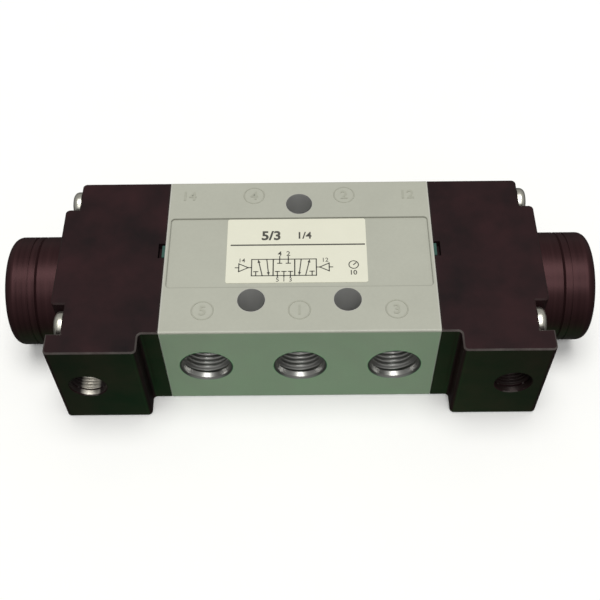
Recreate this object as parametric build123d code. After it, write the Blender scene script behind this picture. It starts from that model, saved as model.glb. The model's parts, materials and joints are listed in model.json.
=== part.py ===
from build123d import *
from math import cos, radians
import os

# Five-port, three-position spool valve: air-piloted at both ends, spring-centred, all ports shut at rest.
# Millimetres. +X runs along the spool, -Y is the face with ports 5, 1 and 3, and +Z is up.
# The origin is on the flat base, straight below the middle of the spool.

# ---- Valve body ----
port_pitch = 25.0
port_to_body_end = 11.0
body_depth = 50.5
body_height = 32.6
body_edge_radius = 0.6
body_end_chamfer = 0.25
spool_bore_radius = 10.0

# ---- Label and the shallow band it sits in ----
band_end_margin = 1.0
band_width = 23.2
band_offset_y = 0.55
band_depth = 0.4
band_corner_radius = 1.0
label_length = 37.5
label_width = 21.5
label_offset_x = -0.7
label_offset_y = 1.15
label_thickness = 0.15
label_corner_radius = 0.6

# ---- Main ports (G1/4) and pilot ports (G1/8), bored to the major radius of the thread ----
port_thread_radius = 6.58
port_mouth_chamfer = 0.52
port_back_wall = 3.25
port_drill_radius = 4.3
pilot_thread_radius = 4.865
pilot_mouth_chamfer = 0.24
pilot_thread_length = 9.0
pilot_drill_radius = 2.0
pilot_port_from_end = 8.6

# ---- Mounting holes, straight down through the body ----
mount_hole_radius = 3.6
mount_hole_front_wall = 1.65
mount_hole_rear_wall = 3.5

# ---- End caps ----
cap_length = 28.5
cap_edge_chamfer = 0.4
cap_corner_radius = 1.2
screw_pocket_depth = 3.7
screw_pocket_gap_inner = 0.4
screw_pocket_gap_below = 0.9
foot_depth = 5.8
foot_gap_from_body = 5.0
foot_overlap = 0.2
foot_inner_radius = 1.0
pilot_cylinder_radius = 11.0
collar_radius = 15.0
collar_wall = 2.5
collar_length = 5.9
collar_chamfer = 0.35

# ---- Notch at the joint line and the gasket ----
notch_width = 4.9
notch_length = 1.8
notch_depth = 2.2
notch_offset_y = 1.1
gasket_thickness = 0.8
gasket_inset = 1.2
gasket_corner_radius = 2.0
gasket_hole_radius = 8.0
tab_width = 3.9
tab_below_top = 0.3

# ---- Cap screws (M4 pan head) ----
cap_screw_radius = 2.0
cap_screw_length = 35.0
cap_screw_point = 0.5
cap_screw_inset_y = 4.95
cap_screw_inset_z = 4.0
pan_head_radius = 4.0
pan_head_height = 2.4
pan_head_round = 1.5
cross_slot_width = 0.9
cross_slot_length = 4.4
cross_slot_depth = 1.5
tapped_hole_extra = 1.5

# ---- Spring covers ----
cover_length = 8.6
cover_wall = 2.6
cover_spigot_length = 8.4
cover_rim_radius = 2.4
cover_groove_from_joint = 1.7
cover_groove_width = 0.5
cover_groove_depth = 0.2
spanner_hole_radius = 1.25
spanner_hole_depth = 3.0
spanner_hole_spacing = 22.4
cover_ring_section = 1.5
cover_ring_groove_width = 1.9
cover_ring_groove_from_joint = 0.5

# ---- Seal and spacer stack in the spool bore ----
seal_thickness = 2.4
seal_lip_groove = 0.6
spacer_inner_clearance = 0.6
spacer_groove_width = 7.0
spacer_groove_depth = 0.9
spacer_window_count = 6
spacer_window_width = 3.6
spacer_window_length = 6.0

# ---- Spool ----
spool_radius = 6.0
spool_stroke = 4.0
waist_radius = 4.0
land_overlap = 0.05
waist_chamfer = 0.6
spool_end_chamfer = 0.4

# ---- Pilot pistons and their screws (M4 socket head) ----
piston_length = 8.5
piston_chamfer = 0.4
piston_start_gap = 0.4
piston_hub_length = 3.0
piston_seal_width = 2.4
piston_seal_depth = 1.8
piston_screw_radius = 2.0
piston_screw_engagement = 9.0
socket_head_radius = 3.5
socket_head_height = 4.0
socket_flat = 3.0
socket_depth = 2.0
counterbore_radius = 3.8
counterbore_depth = 4.2

# ---- Centring springs ----
spring_wire_radius = 0.7
spring_mean_radius = 7.2
spring_turns = 7.0
spring_guide_gap = 0.5
spring_cavity_gap = 1.1

# ---- Fits and clearances ----
running_clearance = 0.04
piston_clearance = 0.05
seat_clearance = 0.02
thread_clearance = 0.03
screw_hole_clearance = 0.25
groove_clearance = 0.1
touch_clearance = 0.05
overcut = 1.0
same_place = 0.01

# ---- Places and sizes worked out from those above ----
body_half = port_pitch + port_to_body_end
body_length = 2 * body_half
depth_half = body_depth / 2
front_face = -depth_half
foot_face = front_face - foot_depth
spool_axis_height = body_height / 2
port_thread_length = depth_half - spool_bore_radius - port_back_wall
mount_hole_front_y = -(spool_bore_radius + mount_hole_front_wall + mount_hole_radius)
mount_hole_rear_y = spool_bore_radius + mount_hole_rear_wall + mount_hole_radius

foot_start = body_half + foot_gap_from_body
cap_face = body_half + cap_length
pocket_floor = cap_face - screw_pocket_depth
pocket_inner_y = depth_half - cap_screw_inset_y - pan_head_radius - screw_pocket_gap_inner
pocket_height = cap_screw_inset_z + pan_head_radius + screw_pocket_gap_below
joint_plane = cap_face + collar_length
pilot_port_x = cap_face - pilot_port_from_end

cover_end = joint_plane + cover_length
cover_cavity_end = cover_end - cover_wall
cover_spigot_radius = collar_radius - collar_wall
cover_cavity_radius = spring_mean_radius + spring_wire_radius + spring_cavity_gap
spigot_end = joint_plane - cover_spigot_length

gasket_face = body_half + gasket_thickness
seal_pitch = port_pitch / 2
spacer_ports = ["5", "4", "1", "2", "3"]
seal_count = len(spacer_ports) + 1
spacer_places = [seal_pitch * (step - len(spacer_ports) // 2) for step in range(len(spacer_ports))]
seal_places = [seal_pitch * (step - (seal_count - 1) / 2) for step in range(seal_count)]
bush_start = seal_places[-1] + seal_thickness / 2
waist_length = seal_pitch - seal_thickness - 2 * land_overlap

piston_inner_face = gasket_face + spool_stroke + piston_start_gap
piston_outer_face = piston_inner_face + piston_length
piston_hub_radius = spring_mean_radius - spring_wire_radius - spring_guide_gap
hub_end = piston_outer_face + piston_hub_length
spool_half = piston_inner_face
cap_screw_spots = [
    (side_y * (depth_half - cap_screw_inset_y), height)
    for side_y in (-1, 1)
    for height in (cap_screw_inset_z, body_height - cap_screw_inset_z)
]


def along_x(radius, start, end, y=0.0, z=spool_axis_height):
    """A round bar along X from start to end."""
    place = Location(((start + end) / 2, y, z), (0, 90, 0))
    return place * Cylinder(radius, end - start)


def ring_x(outer, inner, start, end):
    """A tube on the spool's axis from start to end."""
    return along_x(outer, start, end) - along_x(inner, start - overcut, end + overcut)


def block(low, high):
    """A box between two opposite corners."""
    middle = [(a + b) / 2 for a, b in zip(low, high)]
    size = [b - a for a, b in zip(low, high)]
    return Pos(*middle) * Box(*size)


def turned(profile):
    """A solid turned on the spool's axis from (x, radius) points."""
    outline = Polyline(*[(x, 0, spool_axis_height + r) for x, r in profile], close=True)
    axis = Axis((0, 0, spool_axis_height), (1, 0, 0))
    return revolve(make_face(outline), axis, 360)


def rounded_plate(length, width, thickness, corner, x, y, z):
    """A flat plate with rounded corners, its lower face at z."""
    sketch = RectangleRounded(length, width, corner)
    return Pos(x, y, z) * extrude(sketch, thickness)


def port_cut(x, face_y, inward, thread_radius, mouth_chamfer, thread_length, drill_radius, drill_end):
    """A threaded port bored along Y: mouth chamfer, thread wall and the smaller drilling behind it."""
    outline = [
        (-overcut, 0),
        (-overcut, thread_radius + mouth_chamfer),
        (0, thread_radius + mouth_chamfer),
        (mouth_chamfer, thread_radius),
        (thread_length, thread_radius),
        (thread_length, drill_radius),
        (abs(drill_end - face_y), drill_radius),
        (abs(drill_end - face_y), 0),
    ]
    points = [(x + r, face_y + inward * d, spool_axis_height) for d, r in outline]
    axis = Axis((x, face_y, spool_axis_height), (0, 1, 0))
    return revolve(make_face(Polyline(*points, close=True)), axis, 360)


def main_port(x, side):
    """One G1/4 port, from the front (side -1) or the rear (side +1), down to the spool bore."""
    return port_cut(
        x,
        side * depth_half,
        -side,
        port_thread_radius,
        port_mouth_chamfer,
        port_thread_length,
        port_drill_radius,
        side * (spool_bore_radius - overcut),
    )


def make_valve_body():
    """The painted aluminium body with its bore, ports, mounting holes and label band."""
    body = block((-body_half, front_face, 0), (body_half, depth_half, body_height))
    body = fillet(body.edges().filter_by(Axis.X), body_edge_radius)
    ends = body.faces().filter_by(Axis.X)
    body = chamfer(ends.edges(), body_end_chamfer)
    body -= along_x(spool_bore_radius, -body_half - overcut, body_half + overcut)
    band_floor = body_height - band_depth
    body -= rounded_plate(
        body_length - 2 * band_end_margin,
        band_width,
        band_depth + overcut,
        band_corner_radius,
        0,
        band_offset_y,
        band_floor,
    )
    for place in (-port_pitch, 0, port_pitch):
        body -= main_port(place, -1)
    for place in (-seal_pitch, seal_pitch):
        body -= main_port(place, 1)
    hole = Cylinder(mount_hole_radius, body_height * 2)
    for side in (-1, 1):
        body -= Pos(side * seal_pitch, mount_hole_front_y, 0) * hole
    body -= Pos(0, mount_hole_rear_y, 0) * hole
    tap_depth = cap_screw_length - (pocket_floor - body_half) + tapped_hole_extra
    for y, z in cap_screw_spots:
        for side in (-1, 1):
            low, high = sorted((side * (body_half + overcut), side * (body_half - tap_depth)))
            body -= along_x(cap_screw_radius + thread_clearance, low, high, y, z)
    return body


def make_label():
    """The flat label on the floor of the band."""
    return rounded_plate(
        label_length,
        label_width,
        label_thickness,
        label_corner_radius,
        label_offset_x,
        label_offset_y,
        body_height - band_depth,
    )


def screw_pocket(spot_y, spot_z):
    """The corner pocket cut for one screw head: open outwards, above or below, and at the back."""
    at_front = spot_y < 0
    if at_front:
        low_y = front_face + foot_overlap
        high_y = -pocket_inner_y
    else:
        low_y = pocket_inner_y
        high_y = depth_half + overcut
    if spot_z > spool_axis_height:
        low_z = body_height - pocket_height
        high_z = body_height + overcut
    else:
        low_z = -overcut
        high_z = pocket_height
    return block((pocket_floor, low_y, low_z), (cap_face + overcut, high_y, high_z))


def is_pocket_corner(point):
    """Whether a point is on an outer corner that a screw pocket leaves on the cap."""
    at_step = abs(point.X - cap_face) < same_place and abs(abs(point.Y) - pocket_inner_y) < same_place
    at_back = abs(point.X - pocket_floor) < same_place and abs(point.Y - depth_half) < same_place
    return at_step or at_back


def make_cap_shell():
    """The right-hand cap's outside: block, forward foot, screw pockets and turned collar."""
    cap = block((body_half, front_face, 0), (cap_face, depth_half, body_height))
    cap += block((foot_start, foot_face, 0), (cap_face, front_face + foot_overlap, body_height))
    inner_corner = Vector(foot_start, front_face, spool_axis_height)
    uprights = cap.edges().filter_by(Axis.Z)
    cap = fillet(uprights.sort_by_distance(inner_corner)[0], foot_inner_radius)
    uprights = cap.edges().filter_by(Axis.Z)
    outer = [edge for edge in uprights if edge.center().X >= cap_face or edge.center().Y <= foot_face]
    cap = fillet(outer, cap_corner_radius)
    for y, z in cap_screw_spots:
        cap -= screw_pocket(y, z)
    cap = fillet([edge for edge in cap.edges().filter_by(Axis.Z) if is_pocket_corner(edge.center())], cap_corner_radius)
    levels = cap.faces().filter_by(Axis.Z).sort_by(Axis.Z)
    cap = chamfer(levels[0].edges() + levels[-1].edges(), cap_edge_chamfer)
    collar = along_x(collar_radius, cap_face - overcut, joint_plane)
    rim = collar.faces().sort_by(Axis.X)[-1]
    return cap + chamfer(rim.edges(), collar_chamfer)


def make_end_cap():
    """The right-hand cap with its pilot cylinder, pilot port, gasket pocket, notch and screw holes."""
    cap = make_cap_shell()
    cap -= along_x(pilot_cylinder_radius, body_half - overcut, spigot_end)
    cap -= along_x(cover_spigot_radius + thread_clearance, spigot_end, joint_plane + overcut)
    cap -= port_cut(
        pilot_port_x,
        foot_face,
        1,
        pilot_thread_radius,
        pilot_mouth_chamfer,
        pilot_thread_length,
        pilot_drill_radius,
        -pilot_cylinder_radius + overcut,
    )
    pocket = gasket_outline(gasket_inset - groove_clearance, gasket_corner_radius)
    cap -= Location((body_half, 0, 0)) * pocket
    cap -= block(
        (body_half - overcut, notch_offset_y - notch_width / 2, body_height - notch_depth),
        (body_half + notch_length, notch_offset_y + notch_width / 2, body_height + overcut),
    )
    for y, z in cap_screw_spots:
        hole_radius = cap_screw_radius + screw_hole_clearance
        cap -= along_x(hole_radius, body_half - overcut, pocket_floor + overcut, y, z)
    return cap


def gasket_outline(inset, corner):
    """A rounded sheet of the gasket's thickness, standing on its edge, that much inside the body's outline."""
    sketch = RectangleRounded(body_depth - 2 * inset, body_height - 2 * inset, corner)
    plane = Plane((0, 0, body_height / 2), x_dir=(0, 1, 0), z_dir=(1, 0, 0))
    return extrude(plane * sketch, gasket_thickness)


def make_gasket():
    """The right-hand gasket, with a tab that shows in the cap's notch."""
    sheet = Location((body_half, 0, 0)) * gasket_outline(gasket_inset, gasket_corner_radius)
    tab_low = body_height - gasket_inset - overcut
    sheet += block(
        (body_half, notch_offset_y - tab_width / 2, tab_low),
        (gasket_face, notch_offset_y + tab_width / 2, body_height - tab_below_top),
    )
    sheet -= along_x(gasket_hole_radius, body_half - overcut, gasket_face + overcut)
    for y, z in cap_screw_spots:
        hole_radius = cap_screw_radius + screw_hole_clearance
        sheet -= along_x(hole_radius, body_half - overcut, gasket_face + overcut, y, z)
    return sheet


def make_cap_screws():
    """The four right-hand cap screws, each a pan head with a cross recess."""
    shank = Pos(0, 0, -cap_screw_length / 2) * Cylinder(cap_screw_radius, cap_screw_length)
    shank = chamfer(shank.faces().sort_by(Axis.Z)[0].edges(), cap_screw_point)
    head = Pos(0, 0, pan_head_height / 2) * Cylinder(pan_head_radius, pan_head_height)
    head = fillet(head.faces().sort_by(Axis.Z)[-1].edges(), pan_head_round)
    recess_middle = pan_head_height - cross_slot_depth / 2
    for turn in (45, 135):
        slot = Box(cross_slot_length, cross_slot_width, cross_slot_depth)
        head -= Location((0, 0, recess_middle), (0, 0, turn)) * slot
    screw = head + shank
    return Compound([Location((pocket_floor, y, z), (0, 90, 0)) * screw for y, z in cap_screw_spots])


def make_spring_cover():
    """The right-hand spring cover: a turned cup on a threaded spigot, with two spanner holes."""
    groove = joint_plane + cover_groove_from_joint
    groove_radius = collar_radius - cover_groove_depth
    ring_end = joint_plane - cover_ring_groove_from_joint
    ring_start = ring_end - cover_ring_groove_width
    ring_floor = cover_spigot_radius - cover_ring_section
    cover = turned(
        [
            (spigot_end, cover_cavity_radius),
            (spigot_end, cover_spigot_radius),
            (ring_start, cover_spigot_radius),
            (ring_start, ring_floor),
            (ring_end, ring_floor),
            (ring_end, cover_spigot_radius),
            (joint_plane, cover_spigot_radius),
            (joint_plane, collar_radius - collar_chamfer),
            (joint_plane + collar_chamfer, collar_radius),
            (groove, collar_radius),
            (groove, groove_radius),
            (groove + cover_groove_width, groove_radius),
            (groove + cover_groove_width, collar_radius),
            (cover_end, collar_radius),
            (cover_end, 0),
            (cover_cavity_end, 0),
            (cover_cavity_end, cover_cavity_radius),
        ]
    )
    rim = cover.edges().filter_by(GeomType.CIRCLE).sort_by(Axis.X)[-1]
    cover = fillet(rim, cover_rim_radius)
    hole_start = cover_end - spanner_hole_depth
    for side in (-1, 1):
        y = side * spanner_hole_spacing / 2
        cover -= along_x(spanner_hole_radius, hole_start, cover_end + overcut, y)
    return cover


def make_cover_ring():
    """The right-hand O-ring between collar and spring cover."""
    middle = joint_plane - cover_ring_groove_from_joint - cover_ring_groove_width / 2
    minor = cover_ring_section / 2
    place = Location((middle, 0, spool_axis_height), (0, 90, 0))
    return place * Torus(cover_spigot_radius - minor, minor)


def make_guide_bush():
    """The right-hand bush that guides the spool and holds the stack."""
    outer = spool_bore_radius - seat_clearance
    return ring_x(outer, spool_radius + running_clearance, bush_start, body_half)


def make_bore_seal(place):
    """One seal of the stack, with a lip groove in each side."""
    start = place - seal_thickness / 2
    end = place + seal_thickness / 2
    outer = spool_bore_radius - seat_clearance
    inner = spool_radius + running_clearance
    seal = ring_x(outer, inner, start, end)
    middle = (outer + inner) / 2
    groove = seal_lip_groove
    for low, high in ((start - overcut, start + groove), (end - groove, end + overcut)):
        seal -= ring_x(middle + groove, middle - groove, low, high)
    return seal


def make_port_spacer(place):
    """One perforated spacer of the stack, with a ring groove and windows to its port."""
    length = seal_pitch - seal_thickness
    start = place - length / 2
    outer = spool_bore_radius - seat_clearance
    spacer = ring_x(outer, spool_radius + spacer_inner_clearance, start, start + length)
    half_groove = spacer_groove_width / 2
    spacer -= ring_x(
        outer + overcut,
        outer - spacer_groove_depth,
        place - half_groove,
        place + half_groove,
    )
    window = extrude(SlotOverall(spacer_window_length, spacer_window_width), spool_bore_radius)
    for step in range(spacer_window_count):
        turn = 360 / spacer_window_count * step
        spacer -= Location((place, 0, spool_axis_height), (turn, 0, 0)) * window
    return spacer


def make_spool():
    """The spool: two waists between three lands, tapped at both ends."""
    first = seal_pitch - waist_length / 2
    last = seal_pitch + waist_length / 2
    right = [
        (first, spool_radius),
        (first + waist_chamfer, spool_radius - waist_chamfer),
        (first + waist_chamfer, waist_radius),
        (last - waist_chamfer, waist_radius),
        (last - waist_chamfer, spool_radius - waist_chamfer),
        (last, spool_radius),
        (spool_half - spool_end_chamfer, spool_radius),
        (spool_half, spool_radius - spool_end_chamfer),
        (spool_half, 0),
    ]
    left = [(-x, r) for x, r in reversed(right)]
    spool = turned(left + right)
    hole = piston_screw_radius + thread_clearance
    depth = piston_screw_engagement + tapped_hole_extra
    for side in (-1, 1):
        low, high = sorted((side * (spool_half + overcut), side * (spool_half - depth)))
        spool -= along_x(hole, low, high)
    return spool


def make_piston():
    """The right-hand pilot piston, with its seal groove, spring hub and screw counterbore."""
    radius = pilot_cylinder_radius - piston_clearance
    piston = along_x(radius, piston_inner_face, piston_outer_face)
    piston = chamfer(piston.edges().filter_by(GeomType.CIRCLE), piston_chamfer)
    piston += along_x(piston_hub_radius, piston_outer_face - overcut, hub_end)
    groove_half = piston_seal_width / 2 + groove_clearance
    middle = (piston_inner_face + piston_outer_face) / 2
    piston -= ring_x(radius + overcut, radius - piston_seal_depth, middle - groove_half, middle + groove_half)
    screw_hole = piston_screw_radius + groove_clearance
    piston -= along_x(screw_hole, piston_inner_face - overcut, hub_end + overcut)
    piston -= along_x(counterbore_radius, hub_end - counterbore_depth, hub_end + overcut)
    return piston


def make_piston_seal():
    """The right-hand piston's seal ring, running in the cap's cylinder."""
    middle = (piston_inner_face + piston_outer_face) / 2
    inner = pilot_cylinder_radius - piston_clearance - piston_seal_depth + seat_clearance
    outer = pilot_cylinder_radius - running_clearance
    return ring_x(outer, inner, middle - piston_seal_width / 2, middle + piston_seal_width / 2)


def make_piston_screw():
    """The right-hand socket screw that holds the piston on the spool."""
    seat = hub_end - counterbore_depth
    screw = along_x(socket_head_radius, seat, seat + socket_head_height)
    screw += along_x(piston_screw_radius, spool_half - piston_screw_engagement, seat)
    socket_radius = socket_flat / 2 / cos(radians(30))
    socket = extrude(RegularPolygon(socket_radius, 6), socket_depth + overcut)
    place = Location((seat + socket_head_height - socket_depth, 0, spool_axis_height), (0, 90, 0))
    return screw - place * socket


def make_centring_spring():
    """The right-hand centring spring, from the piston's face to the end of the cover."""
    start = piston_outer_face + spring_wire_radius + touch_clearance
    end = cover_cavity_end - spring_wire_radius - touch_clearance
    length = end - start
    path = Helix(length / spring_turns, length, spring_mean_radius)
    section = Plane(path @ 0, z_dir=path % 0) * Circle(spring_wire_radius)
    coil = sweep(section, path)
    return Location((start, 0, spool_axis_height), (0, 90, 0)) * coil


def both_ends(name, shape):
    """The right-hand piece and its mirror image, as two nodes."""
    return {name + "_right": shape, name + "_left": mirror(shape, Plane.YZ)}


def make_parts():
    """Every node of the valve, by name."""
    parts = {"valve_body": make_valve_body(), "rating_label": make_label(), "spool": make_spool()}
    for number, place in enumerate(seal_places, 1):
        parts[f"bore_seal_{number}"] = make_bore_seal(place)
    for port, place in zip(spacer_ports, spacer_places):
        parts[f"port_spacer_{port}"] = make_port_spacer(place)
    parts |= both_ends("end_cap", make_end_cap())
    parts |= both_ends("end_gasket", make_gasket())
    parts |= both_ends("cap_screws", make_cap_screws())
    parts |= both_ends("spring_cover", make_spring_cover())
    parts |= both_ends("cover_ring", make_cover_ring())
    parts |= both_ends("guide_bush", make_guide_bush())
    parts |= both_ends("pilot_piston", make_piston())
    parts |= both_ends("piston_seal", make_piston_seal())
    parts |= both_ends("piston_screw", make_piston_screw())
    parts |= both_ends("centring_spring", make_centring_spring())
    return parts


os.makedirs("parts", exist_ok=True)
for node_name, node_shape in make_parts().items():
    export_step(node_shape, f"parts/{node_name}.step")
    print(node_name, round(sum(solid.volume for solid in node_shape.solids()), 2))
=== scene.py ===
"""Looks of a five-port spool valve, worked by pilot air at both ends and centred by springs.

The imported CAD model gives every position: the pieces below are dressed or built around it, in metres.
"""

import json
import logging
import math
from dataclasses import dataclass, field
from enum import Enum
from typing import ClassVar

import bmesh
import bpy
from mathutils import Matrix, Vector


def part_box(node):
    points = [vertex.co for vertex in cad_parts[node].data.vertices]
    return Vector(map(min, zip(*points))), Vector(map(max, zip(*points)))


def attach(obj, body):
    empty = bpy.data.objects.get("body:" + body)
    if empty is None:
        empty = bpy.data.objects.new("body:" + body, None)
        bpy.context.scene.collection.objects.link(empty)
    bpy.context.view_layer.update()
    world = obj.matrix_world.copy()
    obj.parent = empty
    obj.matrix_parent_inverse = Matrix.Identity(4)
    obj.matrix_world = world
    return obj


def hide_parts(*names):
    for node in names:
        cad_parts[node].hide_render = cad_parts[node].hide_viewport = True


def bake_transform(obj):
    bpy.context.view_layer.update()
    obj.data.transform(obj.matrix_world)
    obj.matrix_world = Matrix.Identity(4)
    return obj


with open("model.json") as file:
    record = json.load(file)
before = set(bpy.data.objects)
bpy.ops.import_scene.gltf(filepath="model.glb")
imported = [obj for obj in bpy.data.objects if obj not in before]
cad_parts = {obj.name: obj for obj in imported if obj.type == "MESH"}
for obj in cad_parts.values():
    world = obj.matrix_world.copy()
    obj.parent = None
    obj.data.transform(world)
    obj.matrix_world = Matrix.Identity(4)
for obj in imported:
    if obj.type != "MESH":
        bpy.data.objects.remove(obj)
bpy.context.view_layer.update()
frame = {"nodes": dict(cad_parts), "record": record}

LOG = logging.getLogger("valve")
MM = 0.001
HOUSING = "housing"
Point = tuple[float, float, float]
Flat = tuple[float, float]
Colour = tuple[float, float, float, float]
Tree = bpy.types.NodeTree
Socket = bpy.types.NodeSocket
Material = bpy.types.Material


class Side(Enum):
    """The two ends of the valve, by the sign of X."""

    LEFT = -1
    RIGHT = 1

    @property
    def word(self) -> str:
        """The word that ends the names of this side's nodes."""
        return self.name.lower()


def linear(hex_colour: str) -> Colour:
    """Turns an sRGB hex colour into linear light.

    Args:
        hex_colour: Six hex digits after a hash.

    Returns:
        Red, green, blue and an alpha of one.
    """
    parts = [int(hex_colour[i : i + 2], 16) / 255 for i in (1, 3, 5)]
    light = [p / 12.92 if p <= 0.04045 else ((p + 0.055) / 1.055) ** 2.4 for p in parts]
    return (light[0], light[1], light[2], 1.0)


def add_node(
    tree: Tree,
    kind: str,
    settings: dict[str, object] | None = None,
    inputs: dict[str | int, object] | None = None,
) -> bpy.types.Node:
    """Adds one shader node.

    Args:
        tree: The material's node tree.
        kind: The node's type name, without the words that all of them start with.
        settings: Properties of the node.
        inputs: For each input, a value or the socket that feeds it.

    Returns:
        The new node.
    """
    node = tree.nodes.new(f"ShaderNode{kind}")
    for name, value in (settings or {}).items():
        setattr(node, name, value)
    for key, value in (inputs or {}).items():
        if isinstance(value, Socket):
            tree.links.new(value, node.inputs[key])
        else:
            node.inputs[key].default_value = value
    return node


def mount(name: str) -> dict:
    """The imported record's mount of that name."""
    return next(m for m in frame["record"]["mounts"] if m["name"] == name)


def mount_position(name: str) -> Vector:
    """Where a mount is, in metres."""
    return Vector(mount(name)["pos_m"])


# ---------------------------------------------------------------- finishes


@dataclass(frozen=True)
class Finish:
    """A surface finish: its colour, gloss and the size of its grain."""

    name: str
    colour: str
    roughness: float
    metallic: float = 0.0
    grain_mm: float = 0.5
    grain_depth_mm: float = 0.004
    variation: float = 0.06
    noise_roughness: ClassVar[float] = 0.55
    noise_span: ClassVar[Flat] = (0.3, 0.7)
    gloss_span: ClassVar[Flat] = (0.85, 1.15)
    tint_grains: ClassVar[int] = 8

    def start(self) -> tuple[Material, Tree, Socket]:
        """Makes an empty material.

        Returns:
            The material, its node tree and the object coordinates, in metres.
        """
        material = bpy.data.materials.new(self.name)
        material.use_nodes = True
        tree = material.node_tree
        tree.nodes.clear()
        return material, tree, add_node(tree, "TexCoord").outputs["Object"]

    def noise(self, tree: Tree, place: Socket, size_mm: float, detail: float) -> Socket:
        """Noise in patches that are so many millimetres across, about a half on average."""
        inputs = {"Vector": place, "Scale": 1 / (size_mm * MM), "Detail": detail, "Roughness": self.noise_roughness}
        return add_node(tree, "TexNoise", inputs=inputs).outputs["Fac"]

    def spread(self, tree: Tree, value: Socket, low: float, high: float) -> Socket:
        """Maps the usual span of noise onto the range from low to high.

        Args:
            tree: The material's node tree.
            value: The noise.
            low: The range's low end.
            high: The range's high end.

        Returns:
            The mapped noise.
        """
        start, end = self.noise_span
        inputs = {"Value": value, "From Min": start, "From Max": end, "To Min": low, "To Max": high}
        return add_node(tree, "MapRange", inputs=inputs).outputs["Result"]

    def gloss(self, tree: Tree, value: Socket, span: Flat) -> Socket:
        """Spreads noise over the roughness times each end of a span."""
        low, high = span
        return self.spread(tree, value, self.roughness * low, self.roughness * high)

    def product(self, tree: Tree, *factors: Socket | float) -> Socket:
        """Multiplies values or masks.

        Args:
            tree: The material's node tree.
            factors: What is multiplied.

        Returns:
            The product.
        """
        total = factors[0]
        for factor in factors[1:]:
            total = add_node(tree, "Math", {"operation": "MULTIPLY"}, {0: total, 1: factor}).outputs[0]
        return total

    def layered(self, tree: Tree, base: Socket | Colour, *layers: tuple[Socket, Socket | str]) -> Socket:
        """Lays colours over a base, each where its mask is.

        Args:
            tree: The material's node tree.
            base: The lowest colour.
            layers: Pairs of a mask and a colour, which may be a socket or a hex colour.

        Returns:
            The colour.
        """
        for mask, over in layers:
            colour = linear(over) if isinstance(over, str) else over
            mixed = add_node(tree, "Mix", {"data_type": "RGBA"}, {"Factor": mask, 6: base, 7: colour})
            base = mixed.outputs[2]
        return base

    def tinted(self, tree: Tree, place: Socket, size_mm: float) -> Socket:
        """The finish's colour, a little lighter and darker in patches.

        Args:
            tree: The material's node tree.
            place: The coordinates, in metres.
            size_mm: The size of a patch.

        Returns:
            The colour.
        """
        patches = self.noise(tree, place, size_mm, 4.0)
        bright = self.spread(tree, patches, 1 - self.variation, 1 + self.variation)
        inputs = {"Value": bright, "Color": linear(self.colour)}
        return add_node(tree, "HueSaturation", inputs=inputs).outputs["Color"]

    def bump(self, tree: Tree, height: Socket, depth_mm: float) -> Socket:
        """A normal bumped by a height from 0 to 1, where 1 is so many millimetres deep."""
        inputs = {"Height": height, "Distance": depth_mm * MM, "Strength": 1.0}
        return add_node(tree, "Bump", inputs=inputs).outputs["Normal"]

    def end(
        self, tree: Tree, colour: Socket, metal: Socket | float, rough: Socket, normal: Socket
    ) -> bpy.types.Node:
        """Adds the shader and the output.

        Args:
            tree: The material's node tree.
            colour: The base colour.
            metal: How metallic it is.
            rough: Its roughness.
            normal: The bumped normal.

        Returns:
            The shader.
        """
        inputs = {"Base Color": colour, "Metallic": metal, "Roughness": rough, "Normal": normal}
        shader = add_node(tree, "BsdfPrincipled", inputs=inputs)
        add_node(tree, "OutputMaterial", inputs={"Surface": shader.outputs["BSDF"]})
        return shader

    def make(self) -> Material:
        """Builds the plain form of the finish: patchy colour and gloss over a fine grain.

        Returns:
            The material.
        """
        material, tree, place = self.start()
        grain = self.noise(tree, place, self.grain_mm, 2.0)
        colour = self.tinted(tree, place, self.grain_mm * self.tint_grains)
        rough = self.gloss(tree, grain, self.gloss_span)
        self.end(tree, colour, self.metallic, rough, self.bump(tree, grain, self.grain_depth_mm))
        return material


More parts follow.
